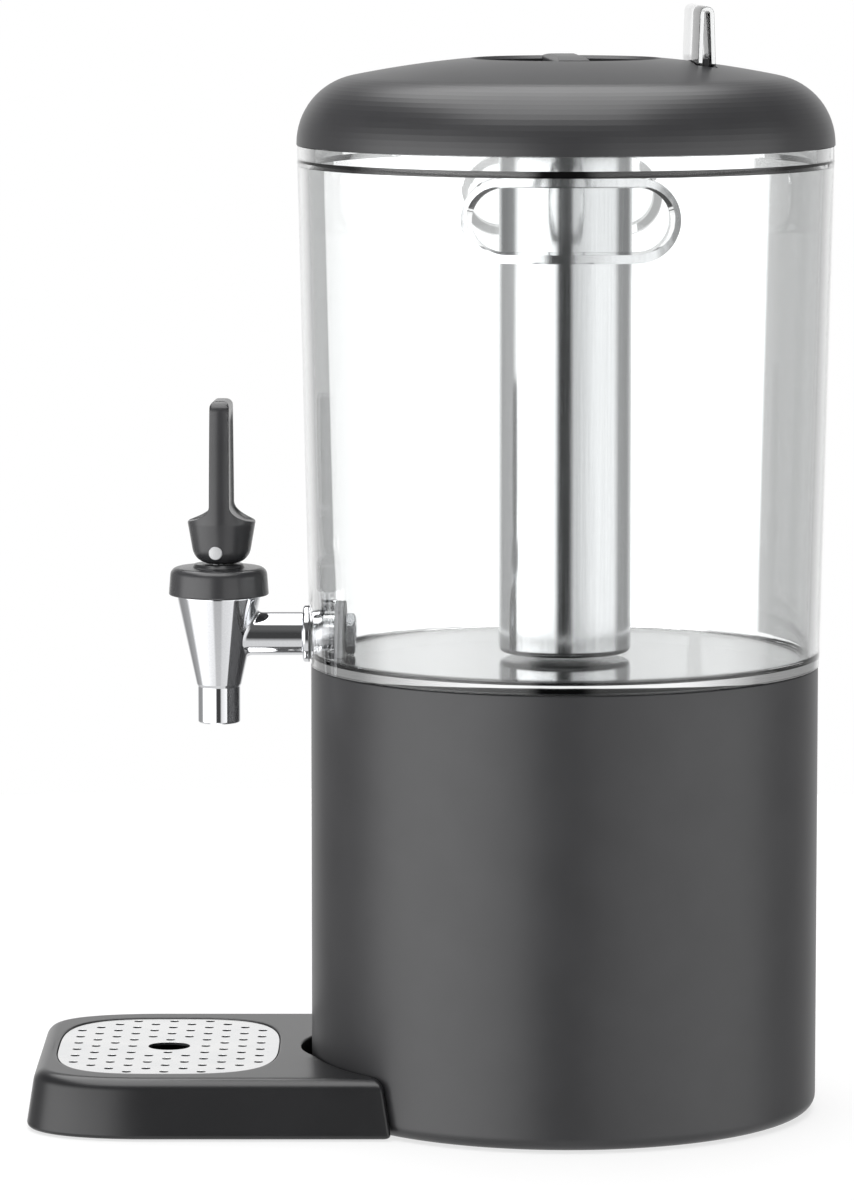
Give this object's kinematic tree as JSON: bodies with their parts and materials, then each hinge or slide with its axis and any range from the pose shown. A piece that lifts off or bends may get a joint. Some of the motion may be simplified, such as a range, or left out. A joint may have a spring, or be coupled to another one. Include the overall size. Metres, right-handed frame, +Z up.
{
  "type": "juice dispenser",
  "caption": "Tapered clear drink container with a steel ice tube, domed lid, lever tap and drip tray on a round matte base.",
  "frame": {"origin": "middle of the whole object's box on the table; the container's axis is 58.05 mm behind it", "axes": "-X front with tap and tray, +Y right grip seen from behind the tap, +Z up"},
  "size_m": [0.3479, 0.2318, 0.4792],
  "materials": {
    "charcoal_housing": "fine satin",
    "charcoal_lid": "satin",
    "charcoal_tray": "satin",
    "black_cover": "matte",
    "black_tap_plastic": "satin",
    "black_rubber": "matte",
    "clear_container": "clear",
    "clear_holder": "clear",
    "clear_silicone": "translucent",
    "chrome": "polished",
    "polished_steel": "polished",
    "bright_steel": "fine satin",
    "nut_steel": "satin",
    "stem_steel": "satin",
    "spring_steel": "bright",
    "screw_steel": "zinc plated"
  },
  "bodies": {
    "base": {"base_shell": "charcoal_housing", "base_cover": "black_cover", "base_feet": "black_rubber", "cover_screws": "screw_steel"},
    "container": {"container": "clear_container", "tap_body": "chrome", "tap_flange": "chrome", "outer_washer": "clear_silicone", "inner_washer": "clear_silicone", "tap_nut": "nut_steel", "tap_bonnet": "black_tap_plastic", "bonnet_seal": "clear_silicone", "valve_spring": "spring_steel"},
    "valve": {"valve_stem": "stem_steel", "seat_cup": "clear_silicone"},
    "lever": {"lever": "black_tap_plastic", "lever_pin": "stem_steel"},
    "lid": {"lid": "charcoal_lid", "lid_seal": "clear_silicone"},
    "ice_tube": {"ice_tube": "polished_steel"},
    "cap": {"tube_cap": "charcoal_lid", "cap_seal": "clear_silicone"},
    "label_holder": {"label_holder": "clear_holder"},
    "drip_tray": {"drip_tray": "charcoal_tray", "tray_feet": "black_rubber"},
    "drip_plate": {"drip_plate": "bright_steel"}
  },
  "joints": [
    {"name": "container_lift", "type": "slide", "parent": "base", "child": "container", "axis": [0, 0, 1], "range_m": [0, 0.12]},
    {"name": "lid_lift", "type": "slide", "parent": "container", "child": "lid", "axis": [0, 0, 1], "range_m": [0, 0.25]},
    {"name": "tube_lift", "type": "slide", "parent": "lid", "child": "ice_tube", "axis": [0, 0, 1], "range_m": [0, 0.25]},
    {"name": "cap_lift", "type": "slide", "parent": "ice_tube", "child": "cap", "axis": [0, 0, 1], "range_m": [0, 0.04]},
    {"name": "label_lift", "type": "slide", "parent": "lid", "child": "label_holder", "axis": [0, 0, 1], "range_m": [0, 0.03]},
    {"name": "valve_lift", "type": "slide", "parent": "container", "child": "valve", "axis": [0, 0, 1], "range_m": [0, 0.003], "stiffness_N_per_m": 500, "springref_m": -0.004, "deforming": ["valve_spring"]},
    {"name": "lever_pull", "type": "hinge", "parent": "valve", "child": "lever", "pos_m": [-0.09195, 0, 0.2439], "axis": [-0.0785, -0.9969, 0], "range_deg": [0, 40]},
    {"name": "tray_pull", "type": "slide", "parent": "base", "child": "drip_tray", "axis": [-1, 0, 0], "range_m": [0, 0.06]},
    {"name": "plate_lift", "type": "slide", "parent": "drip_tray", "child": "drip_plate", "axis": [0, 0, 1], "range_m": [0, 0.05]}
  ],
  "couplings": [
    {"joint": "lever_pull", "follows": "valve_lift", "rad_per_m": 232.71}
  ]
}
